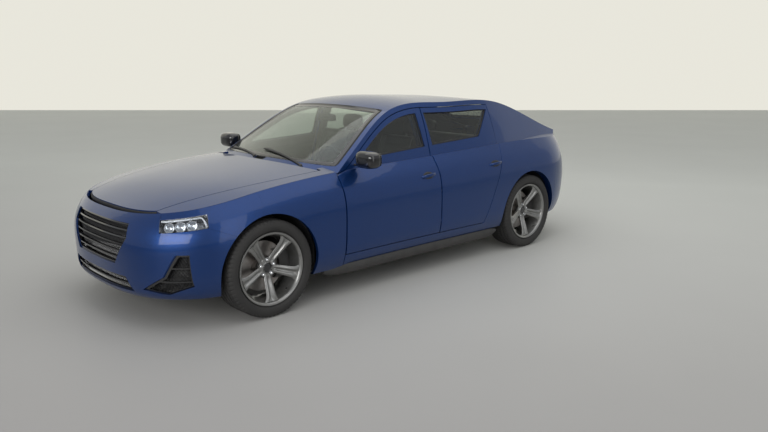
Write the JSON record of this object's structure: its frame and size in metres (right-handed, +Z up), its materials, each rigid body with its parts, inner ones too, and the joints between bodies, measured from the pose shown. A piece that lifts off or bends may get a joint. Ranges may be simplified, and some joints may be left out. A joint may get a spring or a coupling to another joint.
{
  "type": "fastback car",
  "caption": "Low five-door fastback car with a long sloping tail, hinged doors and lids, open cabin with seats, steered front wheels and disc brakes.",
  "frame": {"origin": "on the ground under the middle of the car's length and width", "axes": "+X to the car's left side, +Y to its tail, +Z up"},
  "size_m": [2.0912, 4.6948, 1.4183],
  "materials": {
    "body_paint": "metallic blue with clear coat",
    "window_glass": "tinted safety glass",
    "dark_trim": "black moulded plastic",
    "lamp_clear": "clear lamp lens",
    "lamp_red": "red lamp lens",
    "cabin_plastic": "soft dark cabin plastic",
    "seat_cover": "dark stitched leather",
    "wheel_leather": "smooth black leather",
    "engine_alloy": "cast alloy with covers",
    "exhaust_steel": "stainless steel",
    "chassis_iron": "black coated iron and steel",
    "underbody": "black underseal over steel",
    "tyre": "black rubber",
    "rim_alloy": "painted silver alloy",
    "disc_iron": "machined iron"
  },
  "bodies": {
    "body": {"body_shell": "body_paint", "floor_pan": "underbody", "front_frame": "underbody", "windshield": "window_glass", "front_fenders": "body_paint", "front_bumper": "body_paint", "grille": "dark_trim", "headlamps": "lamp_clear", "tail_lamps": "lamp_red", "rear_bumper": "body_paint", "dashboard": "cabin_plastic", "front_seats": "seat_cover", "rear_seat": "seat_cover", "engine": "engine_alloy", "exhaust": "exhaust_steel", "front_suspension": "chassis_iron", "rear_suspension": "chassis_iron", "wipers": "dark_trim"},
    "door_front_left": {"door_front_left": "body_paint", "glass_front_left": "window_glass", "mirror_left": "dark_trim"},
    "door_rear_left": {"door_rear_left": "body_paint", "glass_rear_left": "window_glass"},
    "door_front_right": {"door_front_right": "body_paint", "glass_front_right": "window_glass", "mirror_right": "dark_trim"},
    "door_rear_right": {"door_rear_right": "body_paint", "glass_rear_right": "window_glass"},
    "hood": {"hood": "body_paint"},
    "tailgate": {"tailgate": "body_paint", "tailgate_glass": "window_glass"},
    "steering_wheel": {"steering_wheel": "wheel_leather"},
    "knuckle_front_left": {"knuckle_front_left": "chassis_iron"},
    "knuckle_front_right": {"knuckle_front_right": "chassis_iron"},
    "wheel_front_left": {"tyre_front_left": "tyre", "rim_front_left": "rim_alloy", "brake_disc_front_left": "disc_iron"},
    "wheel_front_right": {"tyre_front_right": "tyre", "rim_front_right": "rim_alloy", "brake_disc_front_right": "disc_iron"},
    "wheel_rear_left": {"tyre_rear_left": "tyre", "rim_rear_left": "rim_alloy", "brake_disc_rear_left": "disc_iron"},
    "wheel_rear_right": {"tyre_rear_right": "tyre", "rim_rear_right": "rim_alloy", "brake_disc_rear_right": "disc_iron"}
  },
  "joints": [
    {"name": "door_front_left_hinge", "type": "hinge", "parent": "body", "child": "door_front_left", "pos_m": [0.9127, -0.814, 0.565], "axis": [0, 0, -1], "range_deg": [0, 65]},
    {"name": "door_rear_left_hinge", "type": "hinge", "parent": "body", "child": "door_rear_left", "pos_m": [0.90468, 0.208, 0.565], "axis": [0, 0, -1], "range_deg": [0, 65]},
    {"name": "door_front_right_hinge", "type": "hinge", "parent": "body", "child": "door_front_right", "pos_m": [-0.9127, -0.814, 0.565], "axis": [0, 0, 1], "range_deg": [0, 65]},
    {"name": "door_rear_right_hinge", "type": "hinge", "parent": "body", "child": "door_rear_right", "pos_m": [-0.90468, 0.208, 0.565], "axis": [0, 0, 1], "range_deg": [0, 65]},
    {"name": "hood_hinge", "type": "hinge", "parent": "body", "child": "hood", "pos_m": [0, -0.96022, 0.91838], "axis": [-1, 0, 0], "range_deg": [0, 45]},
    {"name": "tailgate_hinge", "type": "hinge", "parent": "body", "child": "tailgate", "pos_m": [0, 1.098, 1.35607], "axis": [1, 0, 0], "range_deg": [0, 70]},
    {"name": "steering_turn", "type": "hinge", "parent": "body", "child": "steering_wheel", "pos_m": [0.41, -0.55, 0.885], "axis": [0, 0.9272, 0.3746], "range_deg": [-525, 525]},
    {"name": "steer_left", "type": "hinge", "parent": "body", "child": "knuckle_front_left", "pos_m": [0.72, -1.51, 0.339], "axis": [0, 0, 1], "range_deg": [-35, 35]},
    {"name": "steer_right", "type": "hinge", "parent": "body", "child": "knuckle_front_right", "pos_m": [-0.72, -1.51, 0.339], "axis": [0, 0, 1], "range_deg": [-35, 35]},
    {"name": "spin_front_left", "type": "hinge", "parent": "knuckle_front_left", "child": "wheel_front_left", "pos_m": [0.795, -1.51, 0.339], "axis": [1, 0, 0], "continuous": true},
    {"name": "spin_front_right", "type": "hinge", "parent": "knuckle_front_right", "child": "wheel_front_right", "pos_m": [-0.795, -1.51, 0.339], "axis": [1, 0, 0], "continuous": true},
    {"name": "spin_rear_left", "type": "hinge", "parent": "body", "child": "wheel_rear_left", "pos_m": [0.795, 1.35, 0.339], "axis": [1, 0, 0], "continuous": true},
    {"name": "spin_rear_right", "type": "hinge", "parent": "body", "child": "wheel_rear_right", "pos_m": [-0.795, 1.35, 0.339], "axis": [1, 0, 0], "continuous": true}
  ],
  "couplings": [
    {"joint": "steer_left", "follows": "steering_turn", "ratio": 0.066667},
    {"joint": "steer_right", "follows": "steering_turn", "ratio": 0.066667}
  ]
}
